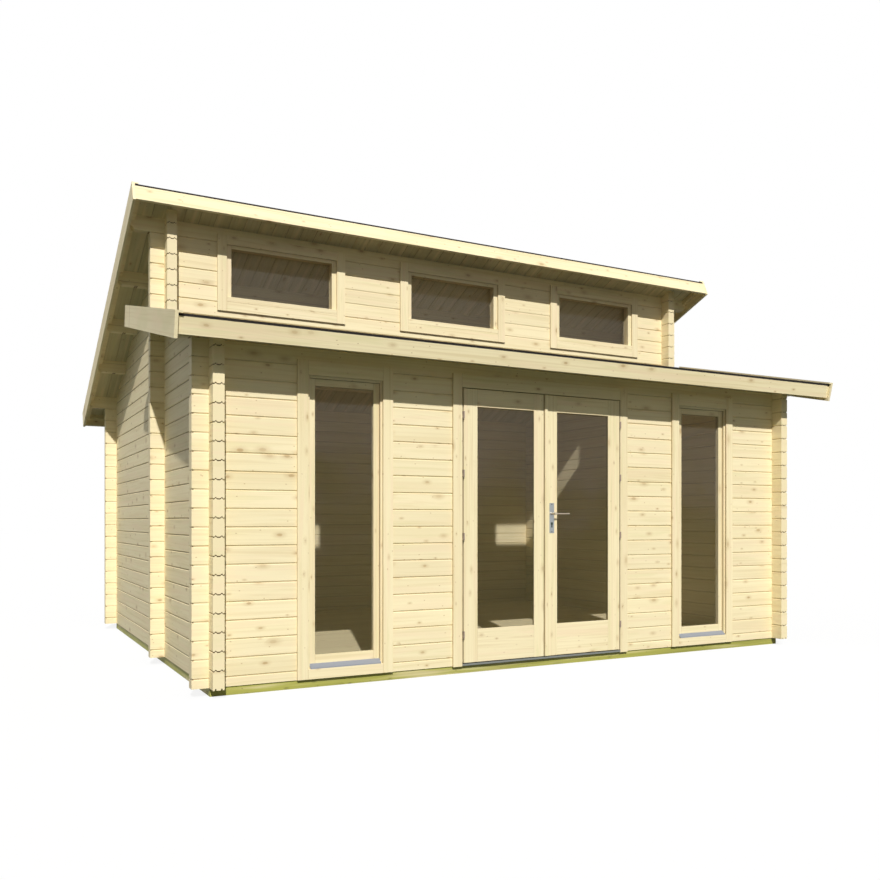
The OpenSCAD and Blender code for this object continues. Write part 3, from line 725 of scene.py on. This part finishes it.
class CABIN_OT_logs(bpy.types.Operator):
    """Cut the tongue joints into every log end and finish the log walls"""

    bl_idname = "cabin.logs"
    bl_label = "Log walls"

    def execute(self, context):
        front, back = low("left_wall").y, high("left_wall").y
        for node, x in (("left_wall", -HALF_W), ("right_wall", HALF_W - LOG_T)):
            cutters = [
                end_joints("Y", x, front, -1, 1, 18),
                end_joints("Y", x, back, 1, 1, 18),
                end_joints("Y", x, CROSS_Y - LOG_END, -1, 21, 8),
                end_teeth("Y", x, front, -1, low(node).z),
                end_teeth("Y", x, back, 1, low(node).z),
            ]
            carve(node, cutters, MATERIALS["side_logs"])
        reach = HALF_W + LOG_END
        # front or back face, the ends that show, the first joint in courses over the
        # foundation, and the number of joints
        rows = {
            "front_wall_left": (FRONT_Y, (-1,), 0.5, 17),
            "front_wall_right": (FRONT_Y, (1,), 0.5, 17),
            "front_wall_over_door": (FRONT_Y, (-1, 1), 17.5, 1),
            "back_wall": (BACK_Y - LOG_T, (-1, 1), 0.5, 18),
            "cross_wall_stubs": (CROSS_Y, (-1, 1), 0.5, 18),
            "clerestory_wall": (CROSS_Y, (-1, 1), 18.5, 9),
        }
        for node, (y, sides, first, count) in rows.items():
            cutters = [end_joints("X", y, side * reach, side, first, count) for side in sides]
            logs = "back_logs" if node == "back_wall" else "cross_logs"
            carve(node, cutters, MATERIALS[logs])
        paint_node("purlins", "cross_logs")
        return {"FINISHED"}


def paint_node(node, material):
    """Gives a CAD node that stays a procedural finish."""
    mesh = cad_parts[node].data
    mesh.materials.clear()
    mesh.materials.append(MATERIALS[material])


# ---------------------------------------------------------------- roofs and floor


def groove_cutters(x0, x1, y0, z0, pitch, s0, s1):
    """V cutters for the underside of sloping boards, side by side across X. s0 and s1 are
    their ends along the slope from the point y0, z0."""
    sizes = bpy.context.scene.cabin_sizes
    width, half = sizes.boarding, sizes.groove / 2
    bm = bmesh.new()
    count = int((x1 - x0) / width)
    first = -(count // 2) * width - width / 2 if count % 2 else -(count // 2) * width

    def at(x, s, n):
        return Vector((x, y0 + s * math.cos(pitch) - n * math.sin(pitch),
                       z0 + s * math.sin(pitch) + n * math.cos(pitch)))

    outline = [at(first - half, s0, -0.001), at(first + half, s0, -0.001),
               at(first, s0, half * 1.1)]
    prism(bm, outline, at(0, s1, 0) - at(0, s0, 0))
    return in_a_row("grooves", bm, count + 1, (width, 0.0, 0.0))


class CABIN_OT_roofs(bpy.types.Operator):
    """Cut the boarding under both roofs and finish boards, battens and felt"""

    bl_idname = "cabin.roofs"
    bl_label = "Roofs"

    def execute(self, context):
        x0, x1 = low("upper_roof_boards").x, high("upper_roof_boards").x
        for node, material, run in (
                ("upper_roof_boards", "upper_deck",
                 (CROSS_Y, UPPER_Z0, -UPPER_PITCH, -0.4, 3.3)),
                ("lower_roof_boards", "lower_deck",
                 (FRONT_Y, LOWER_Z0, LOWER_PITCH, -0.4, 1.7))):
            carve(node, [groove_cutters(x0, x1, *run)], MATERIALS[material])
        for node, material in (
                ("lower_roof_felt", "felt"), ("upper_roof_felt", "felt"),
                ("lower_fascia", "fascia"), ("upper_fascia_front", "fascia"),
                ("upper_fascia_back", "fascia"), ("roof_battens", "fascia"),
                ("lower_barge_left", "barge_lower"), ("lower_barge_right", "barge_lower"),
                ("upper_barge_left", "barge_upper"), ("upper_barge_right", "barge_upper")):
            paint_node(node, material)
        return {"FINISHED"}


class CABIN_OT_base(bpy.types.Operator):
    """Cut the floor boards apart and finish the treated beams"""

    bl_idname = "cabin.base"
    bl_label = "Base and floor"

    def execute(self, context):
        sizes = context.scene.cabin_sizes
        a, b = low("floor_boards"), high("floor_boards")
        half = sizes.groove / 3
        past = 0.01
        bm = bmesh.new()
        first = math.ceil(a.y / sizes.floor_board) * sizes.floor_board
        outline = [(a.x - past, first + side * half, b.z + down) for side, down in
                   ((-1, 0.0005), (1, 0.0005), (0, -half))]
        prism(bm, outline, Vector((b.x - a.x + 2 * past, 0, 0)))
        count = int((b.y - first) / sizes.floor_board) + 1
        rows = in_a_row("floor_grooves", bm, count, (0.0, sizes.floor_board, 0.0))
        carve("floor_boards", [rows], MATERIALS["floor"])
        for node in ("foundation_front", "foundation_back"):
            paint_node(node, "treated")
        for node in ("foundation_sides", "floor_joists"):
            paint_node(node, "treated_side")
        return {"FINISHED"}


# ---------------------------------------------------------------- joinery


class Boards:
    """Gathers planed boards with eased edges, each with its own grain."""

    def __init__(self, seed):
        self.bm = bmesh.new()
        self.grain = self.bm.verts.layers.float_vector.new("grain")
        self.number = self.bm.verts.layers.float.new("board")
        self.dice = random.Random(seed)

    def add(self, x0, x1, y0, y1, z0, z1, along, edge=None):
        """One board; along is the axis of its grain."""
        ease = edge if edge is not None else bpy.context.scene.cabin_sizes.edge
        ease = min(ease, (x1 - x0) / 3, (y1 - y0) / 3, (z1 - z0) / 3)
        part = bmesh.new()
        bmesh.ops.create_cube(part, size=1.0)
        for v in part.verts:
            v.co = Vector(((x0 + x1) / 2 + v.co.x * (x1 - x0), (y0 + y1) / 2 + v.co.y * (y1 - y0),
                           (z0 + z1) / 2 + v.co.z * (z1 - z0)))
        bmesh.ops.bevel(part, geom=part.edges[:], offset=ease, segments=2, affect="EDGES",
                        profile=0.5)
        self.take(part, along)

    def upright(self, points, z0, z1):
        """An upright board whose outline is drawn from above."""
        part = bmesh.new()
        prism(part, [(x, y, z0) for x, y in points], Vector((0, 0, z1 - z0)))
        self.take(part, "Z")

    def take(self, part, along):
        """Adds a finished board, with a grain position and a number of its own."""
        order = {"X": (0, 2, 1), "Y": (1, 2, 0), "Z": (2, 0, 1)}[along]
        shift = [self.dice.uniform(0, 9) for _ in range(3)]
        number = self.dice.uniform(0, 90)
        part.verts.index_update()
        made = []
        for v in part.verts:
            new = self.bm.verts.new(v.co)
            new[self.grain] = [v.co[order[i]] + shift[i] for i in range(3)]
            new[self.number] = number
            made.append(new)
        for face in part.faces:
            self.bm.faces.new([made[v.index] for v in face.verts])
        part.free()

    def mesh(self, name):
        mesh = bpy.data.meshes.new(name)
        self.bm.to_mesh(mesh)
        self.bm.free()
        return mesh


def ring_boards(boards, x0, x1, z0, z1, side, foot, head, y0, y1):
    """Four boards round an opening, the upright ones running through."""
    low_z, top_z = z0 - foot, z1 + head
    boards.add(x0 - side, x0, y0, y1, low_z, top_z, "Z")
    boards.add(x1, x1 + side, y0, y1, low_z, top_z, "Z")
    boards.add(x0, x1, y0, y1, low_z, z0, "X")
    boards.add(x0, x1, y0, y1, z1, top_z, "X")


def window_pieces(name, wall_y, x, w, z0, h, foot, head, face, sash=None):
    """Trims and frame of one fixed window, with its sash where it has one. face is the
    width of the frame that shows at its sides, foot and head, and the depth of the glass;
    sash is the width of the sash's sides, foot and head."""
    hidden, wall_play, inner_foot, sash_set_in, sash_play = 0.0177, 0.0005, 0.0203, 0.018, 0.0015
    side, low_face, top_face, glass_y = face
    inner_y, glass_y = wall_y + LOG_T, wall_y + glass_y
    before_glass, behind_glass = glass_y - PANE_PLAY, glass_y + PANE + PANE_PLAY
    boards = Boards(name)
    x0, x1, z1 = x - w / 2, x + w / 2, z0 + h
    ring_boards(boards, x0, x1, z0, z1, TRIM_W, foot, head, wall_y - TRIM_T - PLAY,
                wall_y - PLAY)
    depths = [(wall_y + wall_play, inner_y - wall_play)]
    if sash is None:
        depths = [(wall_y + wall_play, before_glass), (behind_glass, inner_y - wall_play)]
    for y0, y1 in depths:
        ring_boards(boards, x0 + side, x1 - side, z0 + low_face, z1 - top_face,
                    side + hidden, low_face + hidden - 0.002, top_face + hidden - 0.002,
                    y0, y1)
    if sash is None:
        boards.add(x0 + 0.0005, x1 - 0.0005, wall_y - TRIM_T - PLAY, wall_y,
                   z0 + 0.0002, z0 + low_face, "X")
    else:
        sash_side, sash_foot, sash_head = sash
        open_x0, open_x1 = x0 + side + sash_side, x1 - side - sash_side
        open_z0, open_z1 = z0 + low_face + sash_foot, z1 - top_face - sash_head
        for y0, y1 in ((wall_y + sash_set_in, before_glass),
                       (behind_glass, inner_y - sash_set_in)):
            ring_boards(boards, open_x0, open_x1, open_z0, open_z1, sash_side - sash_play,
                        sash_foot - sash_play, sash_head - sash_play, y0, y1)
    ring_boards(boards, x0, x1, z0, z1, TRIM_W, min(foot, z0 - WALL_Z - inner_foot), head,
                inner_y + PLAY, inner_y + PLAY + TRIM_T)
    return boards.mesh(name)


class CABIN_OT_windows(bpy.types.Operator):
    """Build the trims, frames, sashes and glass of the fixed windows"""

    bl_idname = "cabin.windows"
    bl_label = "Windows"

    def execute(self, context):
        tall_foot = WALL_Z + 0.065
        rows = [(node, FRONT_Y, 0.520, tall_foot, 1.871, 0.065, HEAD_TRIM,
                 (0.014, 0.014, 0.014, 0.029), (0.042, 0.071, 0.046))
                for node in ("window_left_frame", "window_right_frame")]
        rows += [(node, CROSS_Y, 0.896, low(node).z + TRIM_W, 0.437, TRIM_W, TRIM_W,
                  (0.038, 0.038, 0.026, 0.057), None)
                 for node in ("clerestory_frame_left", "clerestory_frame_middle",
                              "clerestory_frame_right")]
        for node, wall_y, *sizes in rows:
            middle = (low(node).x + high(node).x) / 2
            mesh = window_pieces(node + "_built", wall_y, middle, *sizes)
            finish_piece(node + "_built", mesh, "cabin", [node],
                         MATERIALS["joinery"])
        for node in ("front_window_glass", "clerestory_glass"):
            paint_node(node, "glass")
        paint_node("window_sills", "sill_metal")
        return {"FINISHED"}


class CABIN_OT_door(bpy.types.Operator):
    """Build the door frame, both leaves and their fittings"""

    bl_idname = "cabin.door"
    bl_label = "Double door"

    def execute(self, context):
        half, foot, top = DOOR_HALF, WALL_Z, WALL_Z + DOOR_TOP
        inner_y, stop, inner_foot = FRONT_Y + LOG_T, 0.025, 0.0203
        frame_boards = Boards("door frame")
        for y0, y1, lift in ((FRONT_Y - TRIM_T - PLAY, FRONT_Y - PLAY, -0.005),
                             (inner_y + PLAY, inner_y + PLAY + TRIM_T, inner_foot)):
            head = top + HEAD_TRIM
            frame_boards.add(-half - TRIM_W, -half, y0, y1, foot + lift, head, "Z")
            frame_boards.add(half, half + TRIM_W, y0, y1, foot + lift, head, "Z")
            frame_boards.add(-half, half, y0, y1, top, head, "X")
        y0, y1 = FRONT_Y + 0.0002, inner_y - 0.0002
        frame_boards.add(-half - LINER, -half, y0, y1, foot, top, "Z")
        frame_boards.add(half, half + LINER, y0, y1, foot, top, "Z")
        frame_boards.add(-half - LINER, half + LINER, y0, y1, top, top + LINER, "X")
        stop_y = LEAF_FACE + LEAF_T + 0.006
        for side in (-1, 1):
            a, b = sorted((side * half, side * (half - stop)))
            frame_boards.add(a, b, stop_y, y1, foot + 0.020, top, "Z")
        frame_boards.add(-half + stop, half - stop, stop_y, y1, top - stop, top, "X")
        finish_piece("door_frame_built", frame_boards.mesh("door_frame_built"), "cabin",
                     ["door_frame"], MATERIALS["joinery"])
        self.leaf(-1)
        self.leaf(1)
        for node in ("door_left_glass", "door_right_glass"):
            paint_node(node, "glass")
        paint_node("door_threshold", "rail_metal")
        paint_node("door_handle", "lever_metal")
        self.plates()
        for node in ("hinge_frame_halves", "door_left_hinges", "door_right_hinges"):
            paint_node(node, "hinge_metal")
        return {"FINISHED"}

    def plates(self):
        """Long plates with eased edges, each with a black keyhole outline, painted as the shade in
        the lock's slot, and two dark screw heads.
        """
        a, b = low("handle_plates"), high("handle_plates")
        x, z_lock, screw, screw_in = (a.x + b.x) / 2, a.z + 0.058, 0.0035, 0.009
        plates, dark = Boards("plates"), Boards("cylinders")
        for front, back, out in ((a.y, LEAF_FACE - PLAY, -1),
                                 (b.y, LEAF_FACE + LEAF_T + PLAY, 1)):
            sunk = front - out * 0.0012
            y0, y1 = sorted((sunk, back))
            plates.add(a.x, b.x, y0, y1, a.z, b.z, "Z", 0.001)
            y0, y1 = sorted((sunk, front))
            # painted shade: a black keyhole outline, a little proud of the plate, stands in for the
            # dark slot of the lock
            for width, z0, z1 in ((0.005, z_lock - 0.017, z_lock + 0.004),
                                  (0.0085, z_lock + 0.004, z_lock + 0.021)):
                dark.add(x - width, x + width, y0, y1, z0, z1, "Z", 0.0008)
            for z in (a.z + screw_in, b.z - screw_in):
                dark.add(x - screw, x + screw, y0, y1, z - screw, z + screw, "Z", 0.0011)
        finish_piece("handle_plates_built", plates.mesh("handle_plates_built"), "door_right",
                     ["handle_plates"], MATERIALS["plate_metal"])
        finish_piece("keyhole_shades_and_screws", dark.mesh("keyhole_shades_and_screws"), "door_right", (),
                     MATERIALS["dark_metal"])

    def leaf(self, side):
        """One leaf: stiles, rails and a glazing bead, and the right leaf's strip."""
        boards = Boards(f"leaf {side}")
        z0, z1 = LEAF_FOOT, LEAF_TOP
        node = "door_left" if side < 0 else "door_right"
        back = LEAF_FACE + LEAF_T
        meet = 0.018 if side < 0 else -0.012
        slant = 0.004
        glass_in, glass_out = 0.102, LEAF_EDGE - 0.111
        foot, top = z0 + 0.233, z1 - 0.114
        glass_y = LEAF_FACE + 0.009
        before_glass = glass_y - PANE_PLAY

        def slab(a, b, y0, y1, za, zb, along):
            a, b = sorted((side * a, side * b))
            boards.add(a, b, y0, y1, za, zb, along)

        for y0, y1, wider in ((LEAF_FACE, before_glass, 0.0),
                              (glass_y + PANE + PANE_PLAY, back, 0.026)):
            a, b = glass_in - wider, glass_out + wider
            slab(b, LEAF_EDGE, y0, y1, z0, z1, "Z")
            slab(a, b, y0, y1, z0, foot - wider, "X")
            slab(a, b, y0, y1, top + wider, z1, "X")
            meet0, meet1 = [meet + slant * (y - LEAF_FACE) / LEAF_T for y in (y0, y1)]
            points = [(meet0, y0), (a, y0), (a, y1), (meet1, y1)]
            boards.upright([(side * u, v) for u, v in points], z0, z1)
        slab(glass_in, glass_out, LEAF_FACE - 0.001, before_glass, top - 0.009, top, "X")
        if side > 0:
            boards.add(-STRIP, STRIP, LEAF_FACE - STRIP, LEAF_FACE, z0, z1, "Z")
        name = node + "_built"
        finish_piece(name, boards.mesh(name), node, [node],
                     MATERIALS["joinery"])


# ---------------------------------------------------------------- stage


class CABIN_OT_stage(bpy.types.Operator):
    """Set the floor, the sun, the even sky and the camera"""

    bl_idname = "cabin.stage"
    bl_label = "Stage"

    def execute(self, context):
        scene = context.scene
        stage = scene.cabin_stage
        scene.view_settings.view_transform = "Standard"
        bm = bmesh.new()
        bmesh.ops.create_grid(bm, x_segments=1, y_segments=1, size=90)
        floor = new_object("floor", bm)
        for v in floor.data.vertices:
            v.co.z = GROUND
        paint = Paint("pale floor")
        path = paint.node("LightPath", None, None, "Is Camera Ray")
        seen = paint.math("MAXIMUM", path, Val(paint, path.socket.node.outputs["Is Glossy Ray"]))
        seen = paint.math("MAXIMUM", seen,
                          Val(paint, path.socket.node.outputs["Is Transmission Ray"]))
        grassy = tuple(stage.bounce * c for c in (0.95, 1.35, 1.1))
        colour = paint.mix(seen, grassy, (1.0, 1.0, 1.0))
        base = paint.node("BsdfDiffuse", None, {"Color": colour})
        glow = paint.node("Emission", None, {"Color": (1.0, 1.0, 1.0), "Strength": 1.0})
        glow_share = 0.86
        mixed = paint.node("MixShader", None, {0: seen * glow_share, 1: base, 2: glow})
        paint.tree.nodes.remove(paint.shader)
        paint.put(paint.tree.nodes["Material Output"].inputs["Surface"], mixed)
        floor.data.materials.append(paint.material)
        world = scene.world or bpy.data.worlds.new("World")
        scene.world = world
        world.use_nodes = True
        tree = world.node_tree
        back = tree.nodes["Background"]
        rays = tree.nodes.new("ShaderNodeLightPath")
        add = tree.nodes.new("ShaderNodeMath")
        add.operation = "MAXIMUM"
        tree.links.new(rays.outputs["Is Camera Ray"], add.inputs[0])
        tree.links.new(rays.outputs["Is Glossy Ray"], add.inputs[1])
        span = tree.nodes.new("ShaderNodeMapRange")
        tree.links.new(add.outputs[0], span.inputs["Value"])
        span.inputs["To Min"].default_value = stage.fill
        span.inputs["To Max"].default_value = 1.0
        tree.links.new(span.outputs["Result"], back.inputs["Strength"])
        # the sky's light is a little warm, and plain white where the sky is seen
        tint = tree.nodes.new("ShaderNodeMix")
        tint.data_type = "RGBA"
        tree.links.new(add.outputs[0], tint.inputs[0])
        tint.inputs[6].default_value = (1.0, 0.975, 0.94, 1.0)
        tint.inputs[7].default_value = (1.0, 1.0, 1.0, 1.0)
        tree.links.new(tint.outputs[2], back.inputs["Color"])
        sun = bpy.data.lights.new("sun", "SUN")
        sun.energy = stage.sun
        sun.angle = math.radians(0.9)
        lamp = bpy.data.objects.new("sun", sun)
        scene.collection.objects.link(lamp)
        aim = Vector((0.335, 1.0, -0.847))
        lamp.rotation_euler = aim.to_track_quat("-Z", "Y").to_euler()
        camera = bpy.data.cameras.new("camera")
        camera.lens = 35.795
        camera.sensor_width = 36.0
        camera.shift_y = 0.0921
        camera.clip_end = 300
        eye = bpy.data.objects.new("camera", camera)
        scene.collection.objects.link(eye)
        eye.location = (-3.7117, -7.2413, 1.0625)
        eye.rotation_euler = Euler((math.radians(90), 0, math.radians(-28.18)))
        scene.camera = eye
        return {"FINISHED"}


class CABIN_OT_materials(bpy.types.Operator):
    """Make the timber, felt, glass and metal finishes"""

    bl_idname = "cabin.materials"
    bl_label = "Finishes"

    def execute(self, context):
        make_materials()
        return {"FINISHED"}


class CABIN_PT_panel(bpy.types.Panel):
    """The cabin's settings and the steps that build it"""

    bl_label = "Guest cabin"
    bl_idname = "CABIN_PT_panel"
    bl_space_type = "VIEW_3D"
    bl_region_type = "UI"
    bl_category = "Cabin"

    def draw(self, context):
        for group in ("cabin_sizes", "cabin_colours", "cabin_stage"):
            settings = getattr(context.scene, group)
            for name in settings.bl_rna.properties.keys():
                if name not in ("rna_type", "name"):
                    self.layout.prop(settings, name)
        for operator in OPERATORS:
            self.layout.operator(operator.bl_idname)


OPERATORS = (CABIN_OT_materials, CABIN_OT_logs, CABIN_OT_roofs, CABIN_OT_base,
             CABIN_OT_windows, CABIN_OT_door, CABIN_OT_stage)
GROUPS = {"cabin_sizes": CabinSizes, "cabin_colours": CabinColours, "cabin_stage": CabinStage}


def register():
    for name, group in GROUPS.items():
        bpy.utils.register_class(group)
        setattr(bpy.types.Scene, name, bpy.props.PointerProperty(type=group))
    for item in (*OPERATORS, CABIN_PT_panel):
        bpy.utils.register_class(item)


def unregister():
    for item in (*OPERATORS, CABIN_PT_panel):
        bpy.utils.unregister_class(item)
    for name, group in GROUPS.items():
        delattr(bpy.types.Scene, name)
        bpy.utils.unregister_class(group)


def main():
    register()
    bpy.ops.cabin.materials()
    bpy.ops.cabin.logs()
    bpy.ops.cabin.roofs()
    bpy.ops.cabin.base()
    bpy.ops.cabin.windows()
    bpy.ops.cabin.door()
    bpy.ops.cabin.stage()


if __name__ == "__main__":
    main()
